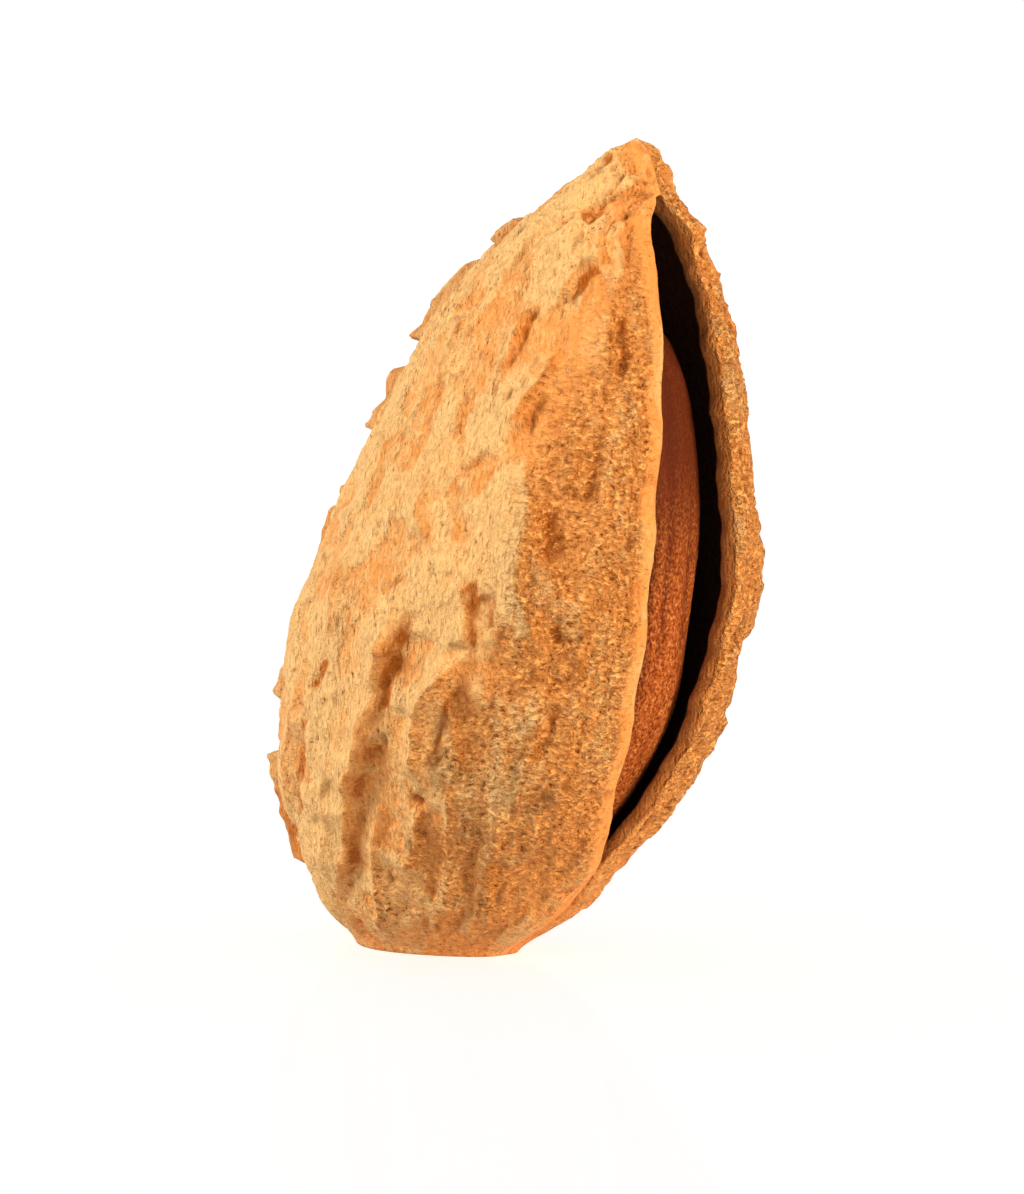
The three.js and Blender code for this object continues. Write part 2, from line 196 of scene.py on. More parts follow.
# %% Paths of the ridges
# falloff towards the back, falloff towards the seam, height, path
RIDGES = [
    (1.6, 0.55, 0.5, [(322, 7.5), (320, 13), (321, 16), (315, 19.5), (312, 23), (307, 27.5)]),
    (1.2, 0.5, 0.35, [(302, 23), (303, 25.5), (307, 28.5)]),
    (1.6, 0.4, 0.5, [(306, 12), (304, 15.3), (301, 17), (300, 20)]),
    (2.0, 0.45, 0.6, [(267, 5.5), (274, 8.8), (279, 10.8), (285, 12.7), (279, 14.5), (284, 18)]),
    (1.2, 0.5, 0.5, [(286, 3.5), (289, 8), (292, 11), (293, 13.3), (304, 16)]),
    (1.5, 0.6, 0.5, [(243, 2.4), (251, 6.5), (255, 9.5), (261, 16)]),
    (1.3, 0.6, 0.35, [(227, 3), (233, 8), (238, 13), (240, 17)]),
    (0.9, 0.5, 0.25, [(337, 5), (339, 10), (338, 16)]),
]
GROOVES = [
    (0.5, 0.5, 0.18, [(344, 5), (348, 9.3), (350, 14), (349, 22), (347, 26.4), (341, 31.5)]),
    (1.2, 1.0, 0.3, [(337, 8), (333, 13), (332, 15.7), (326, 19.3), (321, 22.5), (318, 27)]),
    (0.7, 0.8, 0.3, [(311, 12), (309, 15.3), (306, 17.5), (305, 20)]),
    (0.7, 0.8, 0.35, [(292, 12), (288, 14.6), (290, 17.5)]),
    (0.8, 0.8, 0.3, [(256, 8), (262, 12.5), (267, 16.5)]),
    (0.9, 0.9, 0.25, [(321, 30), (317, 32), (313, 34.5)]),
]
# turn, z, radius, height
DENTS = [
    (299, 35.6, 0.8, 0.22),
    (298, 28.6, 1.0, 0.25),
    (308, 25, 0.9, 0.25),
    (332, 28.4, 1.1, 0.3),
    (317, 26.2, 0.9, 0.25),
    (324, 24, 1.0, 0.25),
]
LUMPS = [
    (38, 33.9, 0.9, 0.35),
    (36, 19.4, 1.3, 0.3),
    (34, 12.2, 1.0, 0.3),
    (32, 8.4, 1.0, 0.35),
    (20, 3.0, 1.1, 0.4),
]
FAR_TURN_SHIFT = 6
FAR_RISE = 1.7


def ridge_height(ridge, turn, z, radius):
    """Height of one ridge. radius turns an angle into millimetres across the surface."""
    towards_back, towards_seam, height, path = ridge
    turns = [p[0] for p in path]
    heights = [p[1] for p in path]
    across = np.radians(turn - np.interp(z, heights, turns)) * radius
    t = np.where(across > 0, across / towards_seam, across / towards_back)
    ends = smooth((z - heights[0]) / 2) * smooth((heights[-1] - z) / 2)
    return height * np.exp(-t * t) * ends


def lump_height(lump, turn, z, radius):
    """Height of one round lump."""
    across = np.radians(turn - lump[0]) * radius
    return lump[3] * np.exp(-(across**2 + (z - lump[1]) ** 2) / lump[2] ** 2)


def strokes(turn, z, radius):
    """All ridges, grooves, dents and lumps together, in millimetres."""
    far = turn < 180
    front_turn = np.where(far, 360 - turn + FAR_TURN_SHIFT, turn)
    front_z = np.where(far, z - FAR_RISE, z)
    height = sum(ridge_height(r, front_turn, front_z, radius) for r in RIDGES)
    height = height - sum(ridge_height(g, front_turn, front_z, radius) for g in GROOVES)
    height = height - sum(lump_height(d, front_turn, front_z, radius) for d in DENTS)
    height = height + sum(lump_height(m, turn, z, radius) for m in LUMPS)
    wave = 0.08 * np.sin(np.radians(turn * 9) + z * 0.5)
    return height + wave + 0.06 * np.sin(z * 1.3 + turn * 0.2)


print(len(RIDGES), "ridges and", len(GROOVES), "grooves on each half")

# %% [markdown]
# ## Where the camera looks from
# The smaller marks of the front half are easiest to place as the camera sees them, so the three
# directions of the camera come first: right and up in the picture, and back towards the camera.

# %% Directions of the camera
AZIMUTH = math.radians(42)
ELEVATION = math.radians(4)
back = Vector((math.sin(AZIMUTH) * math.cos(ELEVATION),
               -math.cos(AZIMUTH) * math.cos(ELEVATION),
               math.sin(ELEVATION)))
right = Vector((math.cos(AZIMUTH), math.sin(AZIMUTH), 0.0))
up = back.cross(right)
PIXELS_PER_MM = 21.0
ORIGIN_PIXEL = (433.0, 945.0)
print("camera looks from", [round(v, 3) for v in back])

# %% [markdown]
# ## Marks of the front half
# These are the smaller crests, furrows and hollows, each a line with a height and a width to its left
# and to its right. Their places are read off the picture, in its pixels. A crest with a wide
# left side and a narrow right side gets the steep drop that woody ridges have.

# %% Crests and hollows
# height, width to the left and to the right in hundredths of a millimetre, path
CRESTS = [
    (32, 60, 40, [(320, 640), (306, 680), (299, 720), (296, 765), (298, 805)]),
    (52, 100, 42, [(403, 606), (396, 640), (387, 672), (384, 695), (375, 718), (371, 742),
                   (361, 772), (359, 800), (357, 832), (350, 868), (345, 892)]),
    (30, 60, 45, [(340, 735), (336, 790), (338, 850), (342, 885)]),
    (48, 60, 45, [(470, 652), (452, 671), (436, 689), (427, 703), (425, 722), (425, 745),
                  (429, 774)]),
    (34, 70, 36, [(416, 800), (425, 806), (424, 822), (419, 842), (412, 862)]),
    (42, 70, 34, [(466, 578), (470, 602), (472, 645)]),
    (42, 80, 28, [(531, 500), (529, 522), (524, 562), (520, 590), (530, 615), (538, 650)]),
    (30, 60, 40, [(538, 690), (534, 730), (520, 770), (512, 810)]),
    (34, 90, 20, [(556, 366), (539, 396), (521, 424), (508, 440)]),
    (26, 50, 25, [(574, 448), (570, 478), (560, 500)]),
    (24, 60, 20, [(541, 322), (524, 333), (518, 352), (508, 376), (497, 392)]),
    (30, 45, 35, [(388, 780), (382, 830), (385, 880), (384, 935)]),
    (12, 30, 45, [(655, 300), (652, 420), (643, 555), (640, 640), (628, 720), (615, 790)]),
    (30, 50, 40, [(640, 143), (660, 170), (668, 190), (662, 204)]),
    (20, 80, 25, [(600, 272), (578, 290), (566, 306), (556, 322)]),
    (16, 80, 30, [(606, 322), (603, 360), (604, 395)]),
    (26, 50, 32, [(455, 700), (462, 740), (458, 790), (452, 850), (450, 920)]),
    (26, 60, 36, [(502, 690), (506, 740), (500, 800), (492, 860), (485, 925)]),
    (24, 60, 36, [(584, 560), (580, 620), (572, 690), (560, 760), (545, 830)]),
    (28, 60, 32, [(352, 560), (346, 600), (338, 640)]),
    (26, 60, 30, [(436, 470), (428, 510), (430, 550)]),
    (24, 70, 30, [(474, 330), (454, 370), (442, 402)]),
    (24, 60, 30, [(400, 440), (384, 480), (376, 520)]),
]
HOLLOWS = [
    (42, 22, 30, [(338, 652), (330, 668), (320, 688)]),
    (28, 22, 23, [(320, 700), (313, 724), (308, 750), (306, 790), (309, 822)]),
    (30, 29, 46, [(424, 614), (412, 618)]),
    (48, 18, 33, [(412, 618), (405, 642), (398, 668), (395, 690), (388, 712)]),
    (40, 22, 40, [(386, 738), (378, 752)]),
    (30, 14, 33, [(378, 752), (368, 778), (366, 805), (361, 835), (357, 870), (352, 898)]),
    (34, 29, 36, [(359, 912), (362, 938)]),
    (26, 25, 26, [(388, 595), (400, 584), (412, 575)]),
    (22, 14, 30, [(470, 672), (455, 692), (448, 715), (440, 742), (437, 772)]),
    (40, 22, 26, [(420, 786), (427, 795)]),
    (44, 14, 23, [(477, 576), (476, 602), (477, 648)]),
    (22, 36, 53, [(488, 592), (488, 632)]),
    (34, 18, 46, [(546, 402), (531, 426), (518, 444)]),
    (18, 29, 40, [(518, 444), (514, 476)]),
    (36, 22, 40, [(584, 440), (592, 462), (588, 490), (578, 515)]),
    (34, 22, 73, [(542, 512), (545, 545), (540, 566)]),
    (26, 22, 53, [(548, 622), (553, 645)]),
    (24, 14, 46, [(548, 665), (550, 700), (544, 740)]),
    (14, 65, 59, [(488, 800), (484, 850)]),
    (14, 58, 53, [(580, 640), (574, 700), (560, 830)]),
    (14, 22, 20, [(622, 440), (622, 520), (628, 600), (624, 680), (610, 760)]),
    (36, 25, 26, [(588, 196), (598, 187), (609, 182)]),
    (34, 36, 33, [(578, 246), (590, 234), (602, 224)]),
    (36, 25, 26, [(594, 286), (580, 302), (570, 318)]),
    (34, 29, 30, [(618, 330), (612, 355), (620, 372), (612, 392)]),
    (26, 10, 17, [(540, 328), (528, 336), (523, 350), (517, 366), (506, 388)]),
    (12, 10, 10, [(551, 281), (532, 296), (521, 305)]),
    (24, 10, 13, [(446, 396), (441, 412), (430, 424)]),
    (20, 10, 10, [(499, 398), (496, 424)]),
    (18, 18, 20, [(470, 440), (458, 458)]),
    (18, 10, 11, [(381, 494), (392, 489)]),
    (20, 10, 10, [(397, 552), (399, 544)]),
    (30, 10, 15, [(482, 274), (466, 283), (451, 296), (438, 311), (430, 326), (422, 336),
                  (436, 341)]),
    (30, 11, 13, [(377, 404), (380, 418), (376, 432), (368, 442)]),
    (30, 11, 13, [(342, 504), (334, 514), (331, 530)]),
    (22, 14, 13, [(323, 560), (321, 578)]),
    (38, 22, 15, [(284, 786), (288, 808), (296, 834), (306, 856), (318, 874)]),
    (18, 10, 10, [(291, 706), (293, 724)]),
    (20, 14, 13, [(284, 738), (283, 752)]),
    (20, 14, 13, [(285, 676), (283, 690)]),
    (12, 10, 10, [(545, 843), (575, 840)]),
    (10, 10, 10, [(463, 864), (480, 867)]),
    (14, 10, 10, [(459, 735), (450, 746), (442, 752)]),
    (14, 10, 10, [(333, 643), (338, 634)]),
]


END_TAPER = 0.18


def mark_height(mark, across, high, roundness):
    """Height of one mark at places in the picture plane. It tapers at both ends."""
    height, left_width, right_width = (hundredths / 100 for hundredths in mark[:3])
    places = (np.array(mark[3], float) - ORIGIN_PIXEL) / (PIXELS_PER_MM, -PIXELS_PER_MM)
    pieces = np.hypot(*np.diff(places, axis=0).T)
    reached = np.concatenate([[0], np.cumsum(pieces)]) / pieces.sum()
    nearest = np.full(across.shape, 1e9)
    result = np.zeros(across.shape)
    for k, ((x0, y0), (x1, y1)) in enumerate(zip(places[:-1], places[1:])):
        dx = x1 - x0
        dy = y1 - y0
        part = ((across - x0) * dx + (high - y0) * dy) / (dx * dx + dy * dy)
        part = np.clip(part, 0, 1)
        off_x = across - x0 - part * dx
        off_y = high - y0 - part * dy
        distance = np.hypot(off_x, off_y)
        width = np.where(off_x < 0, left_width, right_width)
        at = reached[k] + part * (reached[k + 1] - reached[k])
        taper = 0.25 + 0.75 * smooth(at / END_TAPER) * smooth((1 - at) / END_TAPER)
        closer = distance < nearest
        nearest = np.where(closer, distance, nearest)
        result = np.where(closer, height * taper * np.exp(-((distance / width) ** roundness)), result)
    return result


print(len(CRESTS), "crests and", len(HOLLOWS), "hollows")

# %% [markdown]
# ## Repeatable noise
# Woody skin is irregular at every size. Blender has noise textures, but a shape needs the numbers
# themselves, so this is a small value noise: a fixed random number at each whole-number point,
# blended smoothly in between. It gives the same result on every run.


# %% Value noise
def lattice(ix, iy, iz, seed):
    """A fixed random number from -1 to 1 for each grid point."""
    n = (ix * 374761393 + iy * 668265263 + iz * 1103515245 + seed * 974634777) & 0xFFFFFFFF
    n = ((n ^ (n >> 13)) * 1274126177) & 0xFFFFFFFF
    n = ((n ^ (n >> 15)) * 668265263) & 0xFFFFFFFF
    return ((n ^ (n >> 16)) & 0xFFFF) / 32767.5 - 1


def noise(x, y, z, seed):
    """Smooth noise from -1 to 1, with lumps about one unit across."""
    cells = [np.floor(v).astype(np.int64) for v in (x, y, z)]
    eased = [smooth(v - c) for v, c in zip((x, y, z), cells)]
    total = np.zeros(np.broadcast(x, y, z).shape)
    for corner in itertools.product((0, 1), repeat=3):
        weight = 1.0
        for k in range(3):
            weight = weight * (eased[k] if corner[k] else 1 - eased[k])
        total += weight * lattice(*(c + d for c, d in zip(cells, corner)), seed)
    return total


def layered(x, y, z, seed, layers):
    """Noise with finer and weaker noise on top of it."""
    total = 0.0
    for k in range(layers):
        total = total + noise(x * 2**k, y * 2**k, z * 2**k, seed + k) / 2**k
    return total


sample = noise(np.arange(1000) * 0.37, np.zeros(1000), np.zeros(1000), 1)
print("noise runs from", round(sample.min(), 2), "to", round(sample.max(), 2))

# %% [markdown]
# ## A net of points over the shell
# The outside is a grid: rows from the flat spot to the tip, columns from the far lip round the back
# edge to the near lip. Rows are spaced by length along the nut and columns by length round it, a
# little closer at the lips, so no patch of skin is stretched.

# %% Rows and columns
LOW_ROWS = 26
SPLIT_ROWS = 216
HIGH_ROWS = 36
FAR_COLUMNS = 118
NEAR_COLUMNS = 172
HOLLOW_COLUMNS = 20


def even_levels(start, stop, count):
    """Levels spaced by the length of the seam edge and the back edge together."""
    level = np.linspace(start, stop, 2000)
    edges = np.stack([along(OUTLINE, k, level) for k in range(4)], -1)
    steps = np.diff(edges, axis=0)
    step = np.hypot(steps[:, 0], steps[:, 1]) + np.hypot(steps[:, 2], steps[:, 3])
    length = np.concatenate([[0], np.cumsum(step)])
    return np.interp(np.linspace(0, length[-1], count + 1), length, level)


def even_turns(surface, level, start, stop, shares):
    """Turns at the given shares of the length from start to stop."""
    turn = np.linspace(start, stop, 400)
    points = surface(np.full(400, level), turn)
    length = np.concatenate([[0], np.cumsum(np.linalg.norm(np.diff(points, axis=0), axis=1))])
    return np.interp(shares * length[-1], length, turn)


def lip_turns(level):
    """Turns of the far and the near lip, which are worn back unevenly from the seam plane."""
    x, z, half_x, half_z, thick = section(level)
    height = z + half_z
    is_open = split_at(level) > 0
    far = 0.3 + 0.1 * np.sin(height * 1.9) + 0.07 * np.sin(height * 4.3 + 1)
    near = 0.22 + 0.12 * np.sin(height * 1.4 + 2) + 0.3 * np.exp(-((height - 33.4) ** 2))
    far = far + 0.09 * noise(height * 1.7, 0.5, 0.5, 11)
    near = near + 0.07 * noise(height * 2.1, 0.5, 0.5, 12)
    taper = is_open * (0.08 + 0.92 * smooth((level - SPLIT_LOW) / 0.9))
    return np.degrees(taper * far / thick), 360 - np.degrees(taper * near / thick)


def row_turns(surface, level, far_columns, near_columns):
    """All turns of one row, from the far lip round the back edge to the near lip."""
    far_lip, near_lip = lip_turns(level)
    even = np.linspace(0, 1, far_columns + 1)
    far_half = even_turns(surface, level, far_lip, 179.999, even * (0.6 + 0.4 * even))
    even = np.linspace(0, 1, near_columns + 1)
    near_half = even_turns(surface, level, near_lip, 180.001, even * (0.75 + 0.25 * even))[::-1]
    return np.concatenate([far_half[:-1], [180.0], near_half[1:]])


low_levels = even_levels(0, SPLIT_LOW, LOW_ROWS)[:-1]
split_levels = even_levels(SPLIT_LOW, SPLIT_HIGH, SPLIT_ROWS)
high_levels = even_levels(SPLIT_HIGH, TIP_LEVEL, HIGH_ROWS)[1:-1]
levels = np.concatenate([low_levels, split_levels, high_levels])
turns = np.array([row_turns(outside, level, FAR_COLUMNS, NEAR_COLUMNS) for level in levels])
level_grid = np.repeat(levels[:, None], turns.shape[1], 1)
skin = outside(level_grid, turns)
print("outside grid", skin.shape[:2])

# %% [markdown]
# ## Places measured along the skin
# Fibres and pits run lengthways on the nut, so the noise is laid out in millimetres round the nut and
# millimetres along it. Distances from the lips and from the back edge tell where the smooth belt
# beside the split and the torn flakes of the back edge belong.

# %% Directions and distances on the skin
across_step = np.gradient(skin, axis=1)
along_step = np.gradient(skin, axis=0)
normal = np.cross(across_step, along_step)
normal /= np.maximum(np.linalg.norm(normal, axis=-1, keepdims=True), 1e-9)
fibre = along_step / np.maximum(np.linalg.norm(along_step, axis=-1, keepdims=True), 1e-9)
sideways = np.cross(fibre, normal)

widths = np.linalg.norm(np.diff(skin, axis=1), axis=2)
from_far_lip = np.concatenate([np.zeros((len(levels), 1)), np.cumsum(widths, 1)], 1)
from_near_lip = from_far_lip[:, -1:] - from_far_lip
from_lip = np.minimum(from_far_lip, from_near_lip)
from_back = np.abs(from_far_lip - from_far_lip[:, FAR_COLUMNS][:, None])
is_far = np.arange(turns.shape[1])[None, :] < FAR_COLUMNS


GROWN_LENGTH = 10.0
GROWN_THICKNESS = 7.0
x_mid, _, half_x, _, thick = section(level_grid)
grown_x = (skin[..., 0] - x_mid) * GROWN_LENGTH / np.maximum(half_x, 5.0)
grown_y = skin[..., 1] * GROWN_THICKNESS / np.maximum(thick, 3.5)
z_skin = skin[..., 2]
print("skin is", round(float(from_far_lip.max()), 1), "mm round at its widest")

# %% [markdown]
# ## All marks on the skin
# The skin is smooth and pale towards the back and the point, and granular towards the seam and the
# foot. The line between the two is read off the picture and wavers. The far half gets the same marks
# in mirror image, weaker and moved up a little. The steep right side of a crest, which faces away from
# the lamp, is kept as its flank, which the finish paints more orange as painted shade.

# %% Marks and the granular part
GRANULAR_FROM = [(345, 950), (360, 900), (425, 800), (450, 700), (500, 600), (520, 500), (555, 400),
                 (600, 300), (650, 150)]
border = (np.array(GRANULAR_FROM, float) - ORIGIN_PIXEL) / (PIXELS_PER_MM, -PIXELS_PER_MM)
mirrored = skin * np.where(is_far, -1.0, 1.0)[..., None] ** np.array([0, 1, 0])
mirrored[..., 2] -= np.where(is_far, FAR_RISE, 0.0)
across = mirrored @ np.array(right)
high = mirrored @ np.array(up)
wobble = 0.10 * layered(across / 1.1, high / 1.1, 0.5, 23, 2)
patchy = 0.85 + 0.55 * layered(across / 1.6, high / 2.2, 0.5, 24, 2)


CREST_ROUNDNESS = 1.15
CREST_HEIGHT = 1.35
HOLLOW_ROUNDNESS = 2.0
HOLLOW_DEPTH = 0.7
FAR_SHARE = 0.55
FLANK_STEP = 0.22
FLANK_DROP = 0.16
BORDER_WIDTH = 4.0
BELT_WIDTH = 1.1
RIDGE_SHARE = 0.34
SEAM_DEPTH = 0.22
SEAM_HALF_WIDTH = 0.16


def marks_at(marks, across, roundness, share, least):
    """All marks of one kind together. Roundness 1 is sharp like a roof, 2 round like a trough."""
    total = sum(mark_height(mark, across, high, roundness) for mark in marks)
    return share * total * np.clip(patchy, least, 1.2)


crests = marks_at(CRESTS, across + wobble, CREST_ROUNDNESS, CREST_HEIGHT, 0.5)
hollows = marks_at(HOLLOWS, across + wobble, HOLLOW_ROUNDNESS, 1.0, 0.6)
marks = (crests - HOLLOW_DEPTH * hollows) * np.where(is_far, FAR_SHARE, 1.0)
# Painted shade: this finds the steep right side of each crest, which faces away from the lamp, for a
# darker orange paint.
beside = marks_at(CRESTS, across + wobble + FLANK_STEP, CREST_ROUNDNESS, CREST_HEIGHT, 0.5)
drop = crests - beside
flank = np.clip(drop / FLANK_DROP, 0, 1)

past_border = across - np.interp(high, border[:, 1], border[:, 0])
past_border = past_border + 2.2 * noise(across / 2.6, high / 3.4, 0.5, 26)
calmer_foot = 1 - 0.35 * smooth((7.0 - high) / 6.0)
granular = calmer_foot * smooth(past_border / BORDER_WIDTH + 0.5)
belt = smooth((BELT_WIDTH - from_lip) / 0.5) * ~is_far

turn_radius = np.hypot(half_x * np.sin(np.radians(turns)), thick * np.cos(np.radians(turns)))
drawn = RIDGE_SHARE * strokes(turns, z_skin, turn_radius) * np.clip(patchy, 0.4, 1.2)
seam_line = SEAM_DEPTH * np.exp(-((from_lip / SEAM_HALF_WIDTH) ** 2)) * (split_at(level_grid) <= 0)
seam_line *= smooth((9.0 - z_skin) / 2.0) * smooth((z_skin - 1.2) / 1.5)
print("marks from", round(float(marks.min()), 2), "to", round(float(marks.max()), 2), "mm")

# %% [markdown]
# ## Pits and pores
# The pits of an almond shell are short slots that run with the fibres. Each one is pressed into the
# grid on its own, with a random place, length, width and depth. The draw is seeded, so the same nut
# comes out every time. A row of deeper pits follows the rim of the far half.


# %% Press pits into the skin
def press_pits(rows, columns, lengths, breadths, depths):
    """Depth pressed into the grid by slots centred on the given grid points."""
    flat = skin.reshape(-1, 3)
    pressed = np.zeros(len(flat))
    order = np.argsort(flat[:, 2], kind="stable")
    heights = flat[order, 2]
    for row, column, length, breadth, depth in zip(rows, columns, lengths, breadths, depths):
        centre = skin[row, column]
        reach = 2.2 * length
        near = order[np.searchsorted(heights, centre[2] - reach):
                     np.searchsorted(heights, centre[2] + reach)]
        offset = flat[near] - centre
        u = offset @ fibre[row, column] / length
        v = offset @ sideways[row, column] / breadth
        w = offset @ normal[row, column] / 1.5
        slot = depth * np.exp(-(u * u + v * v) ** 1.5 - w * w)
        pressed[near] = np.maximum(pressed[near], slot)
    return pressed.reshape(skin.shape[:2])


draw = np.random.default_rng(7)
PIT_COUNT = 480
pit_rows = draw.integers(4, len(levels) - 14, PIT_COUNT)
pit_columns = draw.integers(4, turns.shape[1] - 4, PIT_COUNT)
pit_size = draw.random(PIT_COUNT) ** 3
in_grain = granular[pit_rows, pit_columns]
pits = press_pits(
    pit_rows,
    pit_columns,
    0.12 + 0.26 * pit_size,
    0.07 + 0.07 * pit_size,
    0.05 + 0.09 * pit_size + 0.03 * in_grain,
)

rim_rows = LOW_ROWS + np.cumsum(draw.integers(5, 13, 22))
rim_rows = rim_rows[rim_rows < LOW_ROWS + SPLIT_ROWS - 4]
rim_columns = np.array([
    int(np.argmin(np.abs(from_far_lip[row, :FAR_COLUMNS] - 0.75 - 0.15 * draw.standard_normal())))
    for row in rim_rows
])
rim_pits = press_pits(
    rim_rows,
    rim_columns,
    0.2 + 0.25 * draw.random(len(rim_rows)),
    0.12 + 0.08 * draw.random(len(rim_rows)),
    0.18 + 0.12 * draw.random(len(rim_rows)),
)
pits = np.maximum(pits, rim_pits)
print(PIT_COUNT, "pits, the deepest", round(float(pits.max()), 2), "mm")

# %% [markdown]
# ## Torn flakes of the back edge
# Along the back edge the husk has torn off and left thin flakes that stand out past the body. Each
# flake has a lowest and a highest point and a height, and its rim is broken up with noise. A groove
# runs beside the edge on both halves.

# %% Flakes
# lowest z, highest z, height
FLAKES = [
    (1.2, 3.2, -0.4),
    (3.0, 8.9, 1.25),
    (11.0, 14.2, 0.7),
    (18.2, 22.2, 1.1),
    (24.2, 27.8, 1.6),
    (28.5, 32.7, 1.6),
    (32.9, 34.8, 1.2),
]
flake_rise = np.zeros_like(z_skin)
flake_side = np.zeros_like(z_skin)
for lowest, highest, height in FLAKES:
    ends = smooth((z_skin - lowest) / 0.5) * smooth((highest - z_skin) / 0.5)
    torn = 0.85 + 0.25 * layered(z_skin * 1.0, 0.5, 0.5, 31, 2)
    flake_rise += height * ends * torn * np.exp(-((from_back / 1.15) ** 2))
    flake_side += min(1.0, abs(height)) * ends * np.exp(-(((from_back - 0.9) / 0.5) ** 2))
edge_groove = 0.2 * np.exp(-(((from_back - 1.5) / 0.45) ** 2))
edge_groove *= smooth(0.5 + 1.5 * noise(z_skin / 2.2, 0.5, 0.5, 32))
print(len(FLAKES), "flakes, the tallest", round(float(flake_rise.max()), 2), "mm")

# %% [markdown]
# ## The finished skin
# Everything is added up in millimetres: the drawn ridges, the smaller marks, low terraces, lumps,
# ripples along the nut and crumbs that are stronger in the granular part, torn lines, the flakes, a
# lump on the far rim, and the pits. The relief fades at the flat spot, at the tip and at the very
# lips, so the pieces of surface meet cleanly. The foot is worn a little, most towards the seam.

# %% Add the relief up
lean_noise = noise(grown_x / 1.2, grown_y / 1.2, z_skin / 1.2, 50)
patches = layered(grown_x / 2.0 + 0.3 * lean_noise, grown_y / 2.0, z_skin / 3.6, 51, 3)
terraces = smooth(patches / 0.30 + 0.5)
lumps = layered(grown_x / 1.4, grown_y / 1.4, z_skin / 2.6, 41, 2)
ripples = 1 - 2 * np.abs(noise(grown_x / 0.9, grown_y / 0.9, z_skin / 2.0, 44))
crumbs = layered(skin[..., 0] / 0.55, skin[..., 1] / 0.55, z_skin / 0.45, 46, 2)
crumbs = 1 - 2 * np.abs(crumbs)
tear = 1 - 2 * np.abs(noise(grown_x / 0.7 + lean_noise, grown_y / 0.7, z_skin / 1.3, 57))

terrace_height = 0.22 - 0.02 * granular
lump_rise = 0.10 + 0.02 * granular
ripple_height = 0.03 + 0.035 * granular
crumb_height = 0.03 + 0.06 * granular
tear_height = 0.06 + 0.10 * flank
fine = (
    marks
    + (terraces - 0.6) * terrace_height * (1 - belt)
    + lumps * lump_rise
    + ripples * ripple_height
    + crumbs * crumb_height * (1 - 0.7 * belt)
    - pits
    - edge_groove
)
fine = fine + tear * tear_height * (1 - belt)
edges = smooth(level_grid / 0.7) * smooth((TIP_LEVEL - level_grid) / 1.2)
at_lip = smooth(from_lip / 0.6)
c = np.cos(np.radians(turns))
w = np.sin(np.radians(turns))
away = np.stack([c / half_x, w / np.maximum(thick, 1e-6), 0 * c], -1)
away /= np.linalg.norm(away, axis=-1, keepdims=True)
RIM_LUMP_AT = 33.6
RIM_LUMP_HEIGHT = 0.50
rim_lump = ((z_skin - RIM_LUMP_AT) / 0.75) ** 2
rim_lump = RIM_LUMP_HEIGHT * np.exp(-rim_lump - ((from_far_lip - 0.5) / 0.8) ** 2)
raised = (drawn * at_lip + flake_rise + rim_lump * is_far) * edges
fine = (fine * at_lip - seam_line) * edges
shell_skin = skin + away * raised[..., None] + normal * fine[..., None]
LIP_ROUNDING = 0.09
round_off = LIP_ROUNDING * (1 - smooth(from_lip / 0.22)) * (split_at(level_grid) > 0)
shell_skin = shell_skin - normal * round_off[..., None]
FOOT_WEAR = 0.3
SEAM_FOOT_WEAR = 1.2
foot_wear = FOOT_WEAR + SEAM_FOOT_WEAR * ((1 + c) / 2) ** 2
foot_wear = foot_wear * (1 - smooth(level_grid / 1.1)) ** 1.5
shell_skin -= away * foot_wear[..., None]
closed = split_at(levels) <= 0
shell_skin[closed, -1] = shell_skin[closed, 0]
shell_skin[0, :, 2] = 0.0
print("relief from", round(float(fine.min()), 2), "to", round(float((drawn + fine).max()), 2), "mm")

# %% [markdown]
# ## Building the shell as one closed mesh
# The outside, the wall of the hollow and the two cut lips share their edges, so the shell is one
# closed body without a boolean cut. Values that the finish needs are kept at each point of the mesh.


# %% Mesh helper
class Body:
    """Collects points, their values and the faces between them."""

    def __init__(self, value_names):
        self.points = []
        self.values = {name: [] for name in value_names}
        self.faces = []
        self.count = 0

    def add_points(self, points, **values):
        """Adds points and returns their numbers in the same layout."""
        points = np.asarray(points, float)
        shape = points.shape[:-1]
        size = int(np.prod(shape)) if shape else 1
        self.points.append(points.reshape(-1, 3))
        for name, kept in self.values.items():
            value = np.broadcast_to(values.get(name, 0.0), shape)
            kept.append(np.asarray(value, float).reshape(-1))
        numbers = self.count + np.arange(size).reshape(shape)
        self.count += size
        return numbers

    def band(self, numbers, flip=False):
        """Fills a grid of points with four-sided faces."""
        a = numbers[:-1, :-1]
        b = numbers[:-1, 1:]
        c = numbers[1:, 1:]
        d = numbers[1:, :-1]
        corners = (d, c, b, a) if flip else (a, b, c, d)
        quads = np.stack(corners, -1).reshape(-1, 4)
        self.faces += [list(dict.fromkeys(q)) for q in quads.tolist()]

    def cap(self, ring, centre, flip=False):
        """Closes a ring of points with a fan of triangles."""
        for a, b in zip(ring[:-1].tolist(), ring[1:].tolist()):
            self.faces.append([b, a, int(centre)] if flip else [a, b, int(centre)])

    def make(self, name, node):
        """Makes the Blender object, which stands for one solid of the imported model."""
        mesh = bpy.data.meshes.new(name)
        points = np.concatenate(self.points) * MM
        mesh.from_pydata(points.tolist(), [], [f for f in self.faces if len(f) > 2])
        for value_name, kept in self.values.items():
            layer = mesh.attributes.new(value_name, "FLOAT", "POINT")
            layer.data.foreach_set("value", np.concatenate(kept).astype(np.float32))
        mesh.shade_smooth()
        made = bpy.data.objects.new(name, mesh)
        bpy.context.scene.collection.objects.link(made)
        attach(made, "root")
        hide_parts(node)
        return made


